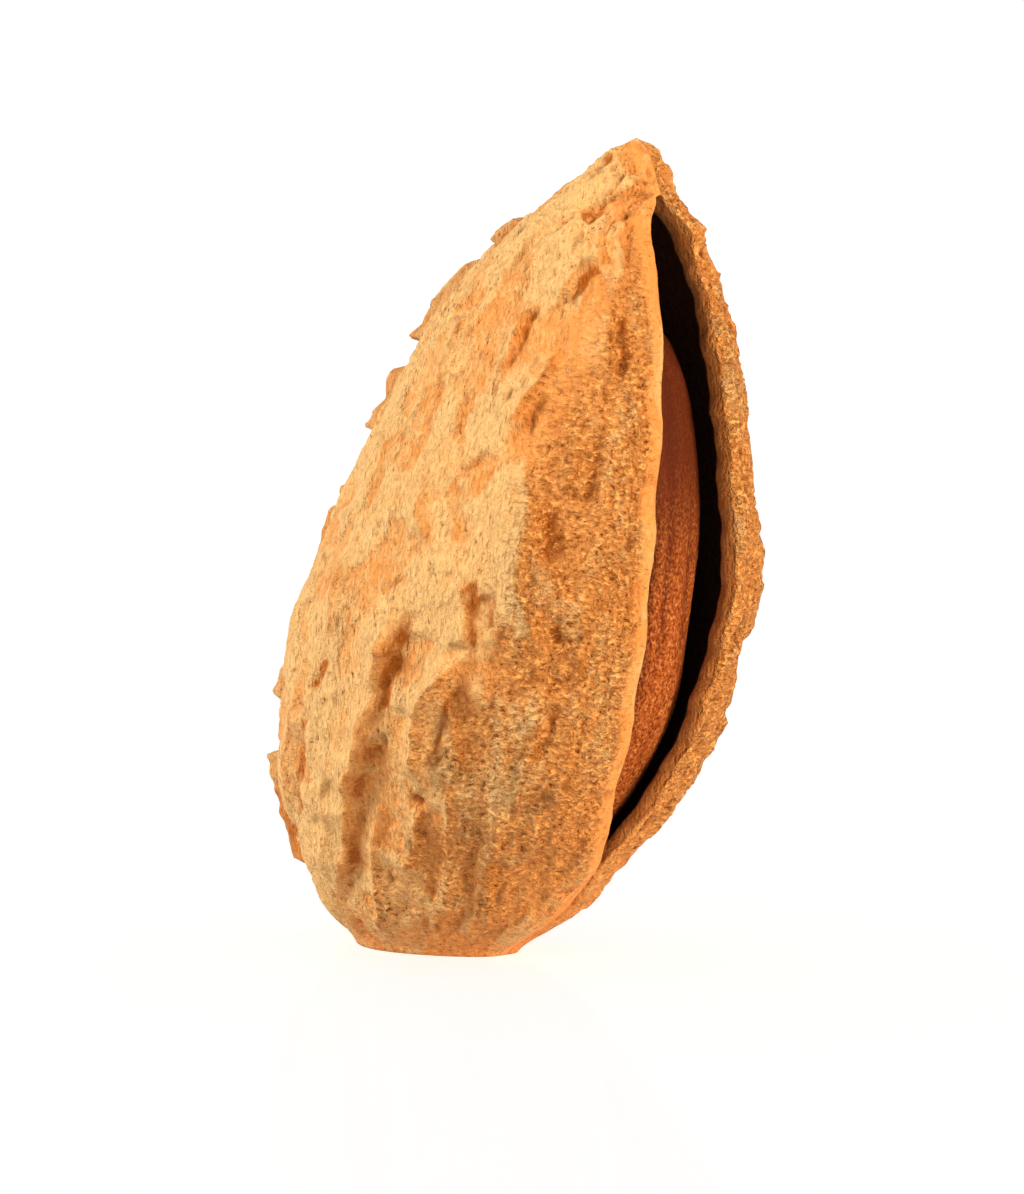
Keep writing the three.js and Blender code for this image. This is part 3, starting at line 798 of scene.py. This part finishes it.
# %% Close rows that are not split
def number_grid(body, points, closed_rows, **values):
    """Adds a grid whose unsplit rows meet at the seam, so they share one point there."""
    numbers = body.add_points(points[:, :-1], **{k: v[:, :-1] for k, v in values.items()})
    last = {k: v[:, -1] for k, v in values.items()}
    seam = body.add_points(points[:, -1], **last)
    seam = np.where(closed_rows, numbers[:, 0], seam)
    return np.concatenate([numbers, seam[:, None]], 1)


# %% Outside, hollow and lips
shell_body = Body(
    ["granular", "height", "pit", "inside", "cut", "flake", "belt", "stain", "flank"]
)
# Painted light and shade: raised relief is painted lighter and low relief darker, as the light falls on
# it.
relief_light_and_shade = np.clip(drawn * 0.8 + marks * 1.4 + 0.15 * ripples + 0.55 * (terraces - 0.7), -1, 1)
stain = np.clip((hollows - 0.05) / 0.26, 0, 1) + 3.0 * seam_line
outer = number_grid(
    shell_body,
    shell_skin,
    closed,
    granular=granular,
    belt=belt,
    height=relief_light_and_shade,
    # Painted shade in the pits.
    pit=np.clip(pits / 0.2, 0, 1) * at_lip,
    stain=np.clip(stain, 0, 1) * (1 - 0.5 * belt),
    flank=flank * at_lip,
    flake=np.clip(flake_side, 0, 1),
)
shell_body.band(outer)
foot = shell_body.add_points(np.array([0.2, 0.0, 0.0]), granular=1.0)
shell_body.cap(outer[0], foot, flip=True)
tip = shell_body.add_points(np.array([OUTLINE[-1, 0], 0.0, STANDING_HEIGHT]))
shell_body.cap(outer[-1], tip)

END_ROWS = 8
end_steps = (np.arange(1, END_ROWS) / END_ROWS) ** 2
floor_levels = HOLLOW_LOW + (SPLIT_LOW - HOLLOW_LOW) * end_steps
top_levels = (HOLLOW_HIGH - (HOLLOW_HIGH - SPLIT_HIGH) * end_steps)[::-1]
inner_levels = np.concatenate([floor_levels, split_levels, top_levels])
inner_turns = np.array([
    row_turns(hollow, level, HOLLOW_COLUMNS, HOLLOW_COLUMNS) for level in inner_levels
])
inner_grid = np.repeat(inner_levels[:, None], inner_turns.shape[1], 1)
wall = hollow(inner_grid, inner_turns)
inner = number_grid(
    shell_body,
    wall,
    split_at(inner_levels) <= 0,
    inside=np.ones(inner_grid.shape),
    height=0.4 * noise(wall[..., 0] / 2, wall[..., 1] / 2, wall[..., 2] / 5, 51),
)
shell_body.band(inner, flip=True)
hollow_floor = shell_body.add_points(hollow(np.array(HOLLOW_LOW), np.array(0.0)), inside=1.0)
shell_body.cap(inner[0], hollow_floor)
hollow_top = shell_body.add_points(hollow(np.array(HOLLOW_HIGH), np.array(0.0)), inside=1.0)
shell_body.cap(inner[-1], hollow_top, flip=True)
print("outside and hollow have", shell_body.count, "points")

# %% [markdown]
# ## Cut lips
# Where the seam has parted, each half shows the thickness of its wall as a smooth, darker strip.
# The strips bulge a little and waver, as torn wood does. They share their points at both ends.

# %% Lip strips
LIP_STEPS = 7
outer_lips = outer[LOW_ROWS:LOW_ROWS + SPLIT_ROWS + 1]
inner_lips = inner[len(floor_levels):len(floor_levels) + SPLIT_ROWS + 1]
skin_lips = shell_skin[LOW_ROWS:LOW_ROWS + SPLIT_ROWS + 1]
wall_lips = wall[len(floor_levels):len(floor_levels) + SPLIT_ROWS + 1]
open_share = smooth(split_at(split_levels) / 1.0)
for column, side in ((0, -1.0), (-1, 1.0)):
    share = np.linspace(0, 1, LIP_STEPS + 1)[1:-1]
    start = skin_lips[:, None, column]
    stop = wall_lips[:, None, column]
    strip = start + (stop - start) * share[None, :, None]
    waver = noise(strip[..., 2] * 1.6, strip[..., 0] * 2.2, 0.5, 61 + column)
    bulge = (0.1 * np.sin(math.pi * share)[None, :] + 0.07 * waver) * open_share[:, None]
    strip[..., 1] += side * bulge
    strip_numbers = shell_body.add_points(
        strip, cut=np.ones(strip.shape[:2]), height=0.5 * waver
    )
    if column == -1:
        strip_numbers[[0, -1]] = far_strip_numbers[[0, -1]]
    far_strip_numbers = strip_numbers
    whole = np.concatenate(
        [outer_lips[:, column][:, None], strip_numbers, inner_lips[:, column][:, None]], 1
    )
    shell_body.band(whole, flip=column == 0)
shell = shell_body.make("shell_skin", "shell")
print("shell has", len(shell.data.polygons), "faces")

# %% [markdown]
# ## The kernel
# The seed is a flat drop in a thin, wrinkled brown skin. Its wrinkles run lengthways and branch, so
# the skin is a finer grid over the kernel's outline, pushed in and out by noise that is stretched
# along the kernel.

# %% Outline of the kernel
# height, back x, seam x, thickness share
KERNEL_OUTLINE = np.array([
    [3.7, 3.6, 3.6, 0.0],
    [4.3, 1.1, 6.2, 0.27],
    [5.9, -0.8, 9.2, 0.56],
    [9.4, -2.9, 11.9, 0.83],
    [13.0, -3.8, 13.5, 0.97],
    [18.4, -2.2, 14.4, 0.98],
    [22.0, 0.0, 14.6, 0.91],
    [25.8, 3.1, 14.3, 0.73],
    [28.2, 7.0, 13.6, 0.47],
    [29.4, 9.2, 12.7, 0.26],
    [29.9, 10.9, 10.9, 0.0],
])
KERNEL_HALF_THICKNESS = 5.2
KERNEL_SHIFT_Y = 1.0
KERNEL_ROWS = 170
KERNEL_COLUMNS = 190

kernel_levels = np.linspace(0, len(KERNEL_OUTLINE) - 1, KERNEL_ROWS + 1)[1:-1, None]
kernel_turns = np.linspace(0, 360, KERNEL_COLUMNS + 1)[None, :]
kz, kernel_back, kernel_seam, kernel_thick = (
    along(KERNEL_OUTLINE, k, kernel_levels) for k in range(4)
)
kernel_thick = KERNEL_HALF_THICKNESS * np.maximum(0, kernel_thick)
cosine = np.cos(np.radians(kernel_turns))
sine = np.sin(np.radians(kernel_turns))
ring_x = cosine * 5.0
ring_y = sine * 5.0
wander = 0.7 * noise(ring_x / 2, ring_y / 2, kz / 5, 71)
wrinkle = 1 - np.abs(noise(ring_x / 0.75 + wander, ring_y / 0.75, kz / 9, 72)) * 2
wrinkle = wrinkle + 0.5 * noise(ring_x / 0.35, ring_y / 0.35, kz / 4, 73)
powder = noise(ring_x / 0.2, ring_y / 0.2, kz / 0.4, 74)
fade = np.sin(np.pi * kernel_levels / (len(KERNEL_OUTLINE) - 1)) ** 0.5
push = (0.09 * wrinkle + 0.02 * powder - 0.09) * fade
kernel_skin = np.stack([
    (kernel_back + kernel_seam) / 2 + ((kernel_seam - kernel_back) / 2 + push) * cosine,
    KERNEL_SHIFT_Y + (kernel_thick + push) * sine,
    kz + 0 * cosine,
], -1)

# Painted shade: from this height up the kernel is painted darker, where it lies deep in the shell.
SHADE_FROM = 16.0
SHADE_LENGTH = 8.0
kernel_body = Body(["wrinkle", "shaded"])
shaded = smooth((kernel_skin[:, :-1, 2] - SHADE_FROM) / SHADE_LENGTH)
kernel_numbers = kernel_body.add_points(
    kernel_skin[:, :-1], wrinkle=wrinkle[:, :-1], shaded=shaded
)
kernel_numbers = np.concatenate([kernel_numbers, kernel_numbers[:, :1]], 1)
kernel_body.band(kernel_numbers)
low_end = kernel_body.add_points(
    np.array([KERNEL_OUTLINE[0, 1], KERNEL_SHIFT_Y, KERNEL_OUTLINE[0, 0]])
)
kernel_body.cap(kernel_numbers[0], low_end, flip=True)
top_end = kernel_body.add_points(
    np.array([KERNEL_OUTLINE[-1, 1], KERNEL_SHIFT_Y, KERNEL_OUTLINE[-1, 0]]), shaded=1.0
)
kernel_body.cap(kernel_numbers[-1], top_end)
kernel = kernel_body.make("kernel_skin", "kernel")
print("kernel has", len(kernel.data.polygons), "faces")

# %% [markdown]
# ## Shader arithmetic
# A finish is a graph of nodes. Wiring each one by hand is hard to read, so a small class wraps an
# output socket: plain arithmetic on it adds Math nodes. Every other node is made by one method.


# %% Sockets
class Wire:
    """An output socket that can be used in arithmetic."""

    def __init__(self, finish, socket):
        self.finish = finish
        self.socket = socket

    def math(self, operation, left, right):
        """Adds a Math node, whose result is again a Wire."""
        return self.finish.node("ShaderNodeMath", {"operation": operation}, {0: left, 1: right})

    def __add__(self, other):
        return self.math("ADD", self, other)

    def __sub__(self, other):
        return self.math("SUBTRACT", self, other)

    def __rsub__(self, other):
        return self.math("SUBTRACT", other, self)

    def __mul__(self, other):
        return self.math("MULTIPLY", self, other)

    __radd__ = __add__
    __rmul__ = __mul__

    def clamped(self):
        return self.finish.node(
            "ShaderNodeMath", {"operation": "ADD", "use_clamp": True}, {0: self, 1: 0.0}
        )

    def eased(self, low, high):
        """0 below low, 1 above high and a smooth step between."""
        return self.finish.node(
            "ShaderNodeMapRange",
            {"interpolation_type": "SMOOTHSTEP"},
            {"Value": self, "From Min": low, "From Max": high},
        )


# %% [markdown]
# ## Materials and their nodes
# The other half of the helpers: a material whose nodes are made by one method, with short names for
# the few that the two finishes share.


# %% Finishes
class Finish:
    """One material, whose nodes are added by name."""

    def __init__(self, name):
        self.material = bpy.data.materials.new(name)
        self.material.use_nodes = True
        self.tree = self.material.node_tree
        self.shader = self.tree.nodes["Principled BSDF"]

    def plug(self, socket, value):
        if isinstance(value, Wire):
            self.tree.links.new(value.socket, socket)
        else:
            socket.default_value = value

    def node(self, kind, settings, values, output=0):
        made = self.tree.nodes.new(kind)
        for name, setting in settings.items():
            setattr(made, name, setting)
        for name, value in values.items():
            self.plug(made.inputs[name], value)
        return Wire(self, made.outputs[output])

    def kept(self, name):
        """A value kept at the points of the mesh."""
        return self.node("ShaderNodeAttribute", {"attribute_name": name}, {}, output="Fac")

    def place(self, stretch):
        """The place on the nut in millimetres, divided by the stretch along each axis."""
        where = self.node("ShaderNodeTexCoord", {}, {}, output="Object")
        scale = [1 / (MM * s) for s in stretch]
        return self.node("ShaderNodeVectorMath", {"operation": "MULTIPLY"}, {0: where, 1: scale})

    def noise(self, stretch, detail=3.0, roughness=0.55, distortion=0.0):
        values = {"Vector": self.place(stretch), "Scale": 1.0, "Detail": detail,
                  "Roughness": roughness, "Distortion": distortion}
        return self.node("ShaderNodeTexNoise", {"noise_dimensions": "3D"}, values)

    def value_mix(self, share, low, high):
        """A value between two values."""
        return self.node("ShaderNodeMix", {"data_type": "FLOAT"}, {0: share, 2: low, 3: high})

    def mix(self, share, low, high):
        """A colour between two colours. The node keeps the share from 0 to 1."""
        return self.node(
            "ShaderNodeMix", {"data_type": "RGBA"}, {0: share, 6: low, 7: high}, output=2
        )

    def bump(self, height, distance):
        """Bends the shading as if the surface rose by the height times the distance in millimetres."""
        values = {"Height": height, "Distance": distance * MM, "Strength": 1.0}
        return self.node("ShaderNodeBump", {}, values)

    def wear(self, **values):
        for name, value in values.items():
            self.plug(self.shader.inputs[name.replace("_", " ")], value)
        return self.material


print("helpers for", Finish.__name__, "ready")

# %% [markdown]
# ## The woody finish
# The smooth part is pale straw, the granular part orange-brown. Crests are painted lighter and hollows
# darker, as painted light and shade of the relief. Finer than the mesh are the cracks between
# crumbs: stretched noise gives upright slits and dashes on the smooth part, flat and curly ones on the
# granular part. The same noise drives the colour and the bump, so each dark crack is also a dent with
# painted shade in it. Gaps between crumbs get painted shade and crumb tops a painted highlight.

# %% Finish of the shell
STRAW = (0.68, 0.39, 0.142, 1)
TAN = (0.68, 0.26, 0.06, 1)
FLANK_SHADE_TAN = (0.62, 0.2, 0.028, 1)
ORANGE_BROWN = (0.38, 0.098, 0.008, 1)
DEEP_SHADE_BROWN = (0.17, 0.036, 0.003, 1)
GAP_SHADE_BROWN = (0.44, 0.115, 0.008, 1)
CRUMB_HIGHLIGHT = (0.86, 0.45, 0.130, 1)
CUT_RED = (0.42, 0.115, 0.016, 1)
# Painted shade: the wall of the hollow is painted near black, as the shade deep inside the shell.
INSIDE_SHADE_BROWN = (0.07, 0.022, 0.008, 1)

wood = Finish("almond_shell")
# Half of the shaded flank joins the granular share, so the flanks also get painted shade in the
# granular colours.
grainy = (wood.kept("granular") + wood.kept("flank") * 0.5).clamped()
smooth_belt = 1 - 0.8 * wood.kept("belt")
# On the outside the kept height is the painted light and shade of the relief; on the hollow wall and
# the cut lips it is a random tone.
height = wood.kept("height")
cloud = wood.noise((2.2, 2.2, 4.0), detail=4.0)
mottle = wood.noise((0.8, 0.8, 1.2), detail=3.0, roughness=0.6)
clusters = wood.noise((1.0, 1.0, 1.5), detail=2.0)
slits = wood.noise((0.17, 0.17, 0.42), detail=3.0, roughness=0.6, distortion=0.2)
curls = wood.noise((0.27, 0.27, 0.19), detail=3.0, roughness=0.6, distortion=0.3)
crumb = wood.value_mix(grainy * 1.2 - 0.1 + (cloud - 0.5) * 1.2, slits, curls)
grit = wood.noise((0.10, 0.10, 0.10), detail=1.0)
flecks = wood.noise((0.45, 0.45, 0.7), detail=4.0, roughness=0.65)
flat_dashes = wood.noise((0.44, 0.44, 0.10), detail=1.0, distortion=1.2)
upright_dashes = wood.noise((0.11, 0.11, 0.50), detail=1.0, distortion=1.2)
dashes = wood.value_mix(grainy, upright_dashes, flat_dashes)

# Painted light: the relief's painted light and shade, with the granular share and random cloud and
# flecks, moves the colour between tan and straw.
lit = 0.64 - grainy * 0.52 + height * 0.8 + (cloud - 0.5) * 1.2 + (flecks - 0.5) * 1.6
colour = wood.mix(lit.eased(0.1, 0.85), TAN, STRAW)
brown = wood.kept("stain") * (0.25 + 0.9 * mottle) + (mottle - 0.5) * 1.4 + (flecks - 0.5) * 1.5
brown = brown + grainy * 0.10
rough_share = (0.30 + 0.60 * grainy + 0.25 * wood.kept("flake")) * smooth_belt
# Painted shade in the low gaps between crumbs, where the bump dents the skin.
crumb_gap_shade = (1 - crumb.eased(0.35, 0.50)) * rough_share * (0.35 + 0.9 * clusters)
# Painted highlight on the raised crumb tops.
crumb_top_highlight = crumb.eased(0.54, 0.68) * (0.12 + 0.30 * grainy) * smooth_belt
# Painted shade in the cracks and dashes, which the bump also dents.
crack_shade = (1 - crumb.eased(0.30, 0.37)) * (rough_share + 0.2) * (0.35 + 1.3 * clusters.eased(0.40, 0.60))
crack_shade = crack_shade + (1 - dashes.eased(0.22, 0.27)) * smooth_belt * clusters.eased(0.42, 0.56)
coats = [
    # Painted shade on the crest flanks that face away from the lamp.
    (wood.kept("flank") * (0.2 + 0.8 * mottle), FLANK_SHADE_TAN),
    (brown.eased(0.05, 0.90), ORANGE_BROWN),
    # Painted highlight on the crumb tops.
    (crumb_top_highlight, CRUMB_HIGHLIGHT),
    # Painted shade between the crumbs.
    (crumb_gap_shade, GAP_SHADE_BROWN),
    # Painted shade in the cracks.
    (crack_shade, DEEP_SHADE_BROWN),
    # Painted shade in the pits.
    (wood.kept("pit") * 0.85, DEEP_SHADE_BROWN),
    (wood.kept("flake") * 0.45, ORANGE_BROWN),
    (wood.kept("cut") * 0.85, CUT_RED),
    # Painted shade inside the hollow.
    (wood.kept("inside"), INSIDE_SHADE_BROWN),
]
for share, paint in coats:
    colour = wood.mix(share, colour, paint)

relief = crumb.eased(0.25, 0.65) * (0.30 + 0.35 * grainy) * smooth_belt
relief = relief + flecks * 0.7 + grit * 0.1 + dashes.eased(0.22, 0.32) * 0.3
bump = wood.bump(relief, 0.34)
wood.wear(Base_Color=colour, Roughness=0.6 + 0.25 * crumb, Specular_IOR_Level=0.15, Normal=bump)
shell.data.materials.append(wood.material)
print("shell finish has", len(wood.tree.nodes), "nodes")

# %% [markdown]
# ## The skin of the kernel
# The brown skin is darker in the furrows and dusty on the wrinkles, with a powdery grain. Towards its
# top, where it lies deep in the shell, its colour is darkened with painted shade.

# %% Finish of the kernel
FURROW_AND_TOP_SHADE = (0.09, 0.013, 0.002, 1)
SEED_BROWN = (0.36, 0.078, 0.011, 1)
DUSTY = (0.62, 0.25, 0.075, 1)

seed = Finish("kernel_skin")
dust = seed.noise((0.28, 0.28, 0.8), detail=4.0, roughness=0.65, distortion=0.5)
powder_grain = seed.noise((0.14, 0.14, 0.18), detail=3.0, roughness=0.65)
ridge = (seed.kept("wrinkle") * 0.5 + 0.5).clamped()
seed_colour = seed.mix(ridge.eased(0.1, 0.8), FURROW_AND_TOP_SHADE, SEED_BROWN)
dusty = powder_grain.eased(0.52, 0.66) * (0.35 + 0.65 * ridge) * (0.5 + dust)
seed_colour = seed.mix((1 - powder_grain.eased(0.36, 0.52)) * 0.85, seed_colour, FURROW_AND_TOP_SHADE)
seed_colour = seed.mix(dusty * 0.8, seed_colour, DUSTY)
# Painted shade towards the top of the kernel.
seed_colour = seed.mix(seed.kept("shaded") * 0.92, seed_colour, FURROW_AND_TOP_SHADE)
seed_bump = seed.bump(powder_grain * 0.6 + dust * 0.4, 0.22)
seed.wear(
    Base_Color=seed_colour,
    Roughness=0.6 + 0.25 * dust,
    Specular_IOR_Level=0.1,
    Normal=seed_bump,
)
kernel.data.materials.append(seed.material)
print("kernel finish has", len(seed.tree.nodes), "nodes")

# %% [markdown]
# ## Floor
# The nut stands on a plain white floor. It glows a little, so it stays white like the background.

# %% Floor
FLOOR_SIZE = 2.0
floor_mesh = bpy.data.meshes.new("floor")
half_floor = FLOOR_SIZE / 2
floor_mesh.from_pydata(
    [(x, y, 0.0) for x, y in ((-half_floor, -half_floor), (half_floor, -half_floor),
                              (half_floor, half_floor), (-half_floor, half_floor))],
    [],
    [(0, 1, 2, 3)],
)
floor = bpy.data.objects.new("floor", floor_mesh)
bpy.context.scene.collection.objects.link(floor)
white = Finish("floor_white")
white.wear(
    Base_Color=(0.85, 0.85, 0.85, 1),
    Roughness=0.9,
    Specular_IOR_Level=0.0,
    Coat_Weight=0.10,
    Coat_Roughness=0.06,
    Emission_Color=(1, 1, 1, 1),
    Emission_Strength=0.77,
)
floor.data.materials.append(white.material)
floor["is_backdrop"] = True

# %% [markdown]
# ## Light
# A dim white room with a bright rim near the horizon gives the white background. A soft lamp from the
# upper left draws the relief and a warm one from the right fills the shade. Both light the nut alone,
# so they cast no coloured pool on the floor.

# %% Light
scene = bpy.context.scene
world = bpy.data.worlds.new("soft_white")
world.use_nodes = True
sky_tree = world.node_tree
direction = sky_tree.nodes.new("ShaderNodeTexCoord")
parts = sky_tree.nodes.new("ShaderNodeSeparateXYZ")
rim = sky_tree.nodes.new("ShaderNodeMapRange")
rim.interpolation_type = "SMOOTHSTEP"
for name, value in (("From Min", 0.10), ("From Max", 0.26), ("To Min", 1.06), ("To Max", 0.27)):
    rim.inputs[name].default_value = value
sky = sky_tree.nodes["Background"]
sky_tree.links.new(direction.outputs["Generated"], parts.inputs["Vector"])
sky_tree.links.new(parts.outputs["Z"], rim.inputs["Value"])
sky_tree.links.new(rim.outputs["Result"], sky.inputs["Strength"])
sky.inputs["Color"].default_value = (1, 1, 1, 1)
scene.world = world
scene.view_settings.view_transform = "Standard"


def soft_light(name, place, target, size, watts, colour):
    """A square area light that faces a point of the nut."""
    data = bpy.data.lights.new(name, "AREA")
    data.shape = "SQUARE"
    data.size = size
    data.energy = watts
    data.color = colour
    lamp = bpy.data.objects.new(name, data)
    lamp.location = Vector(place)
    lamp.rotation_euler = (Vector(target) - Vector(place)).to_track_quat("-Z", "Y").to_euler()
    scene.collection.objects.link(lamp)
    return lamp


nut_middle = Vector((0.004, 0.0, 0.018))
key_place = nut_middle + (-0.33 * right + 0.24 * up + 0.14 * back)
fill_place = nut_middle + (0.30 * right + 0.08 * up + 0.26 * back)
key = soft_light("key", key_place, nut_middle, size=0.16, watts=2.55, colour=(1.0, 1.0, 0.97))
fill = soft_light("fill", fill_place, nut_middle, size=0.22, watts=2.4, colour=(1.0, 0.82, 0.60))
lit_pieces = bpy.data.collections.new("lit_by_lamps")
for piece in (shell, kernel):
    lit_pieces.objects.link(piece)
for lamp in (key, fill):
    lamp.light_linking.receiver_collection = lit_pieces
print("light", key.name, "at", [round(v, 3) for v in key.location])

# %% [markdown]
# ## Camera
# It stands 42 degrees round from the front and 4 degrees up, with a long lens. Its distance follows
# from the size of the nut in the picture.

# %% Camera
LENS = 135.0
SENSOR = 36.0
IMAGE_WIDTH = 1024
IMAGE_HEIGHT = 1194

focal_pixels = IMAGE_HEIGHT * LENS / SENSOR
distance = focal_pixels / PIXELS_PER_MM * MM
across_shift = (IMAGE_WIDTH / 2 - ORIGIN_PIXEL[0]) / PIXELS_PER_MM * MM
up_shift = (ORIGIN_PIXEL[1] - IMAGE_HEIGHT / 2) / PIXELS_PER_MM * MM
aim = across_shift * right + up_shift * up
camera_data = bpy.data.cameras.new("camera")
camera_data.lens = LENS
camera_data.sensor_width = SENSOR
camera_data.clip_start = distance * 0.05
camera_data.clip_end = distance * 20
camera = bpy.data.objects.new("camera", camera_data)
camera.matrix_world = Matrix.Translation(aim + back * distance) @ Matrix(
    (right, up, back)
).transposed().to_4x4()
scene.collection.objects.link(camera)
scene.camera = camera
print("camera", round(distance, 3), "metres away")

# %% [markdown]
# ## Sizes of the model
# The fine skin has to stay inside the solid model's box, so both boxes are printed.

# %% Sizes
low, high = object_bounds()
print("visual model box", list(low), list(high))
